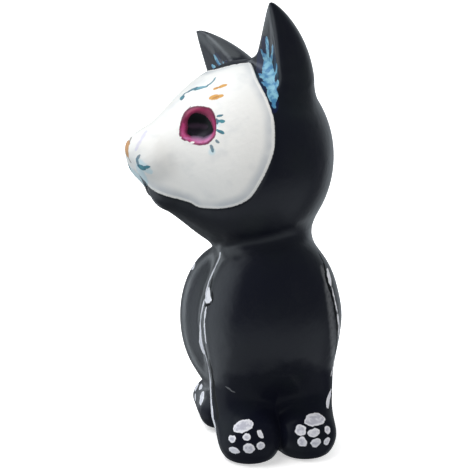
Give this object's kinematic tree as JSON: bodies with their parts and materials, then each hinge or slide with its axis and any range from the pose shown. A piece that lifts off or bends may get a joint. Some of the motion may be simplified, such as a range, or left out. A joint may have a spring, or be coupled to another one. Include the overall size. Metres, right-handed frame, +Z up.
{
  "type": "day of the dead skeleton cat figure",
  "caption": "Seated cat figurine cast in one piece of painted resin, with its head turned aside and a painted sugar-skull face.",
  "frame": {"origin": "on the flat underside, midway between the haunches, under the chest's back", "axes": "+Z up from the underside, -Y the way the chest and the front paws face, +X to the cat's own left; the head is turned to -X"},
  "size_m": [0.0663, 0.0628, 0.1321],
  "materials": {
    "painted_resin": "satin black paint with a white painted face, white bone marks, pink eye rings and coloured strokes"
  },
  "bodies": {
    "root": {"seated_cat": "painted_resin"}
  },
  "joints": []
}
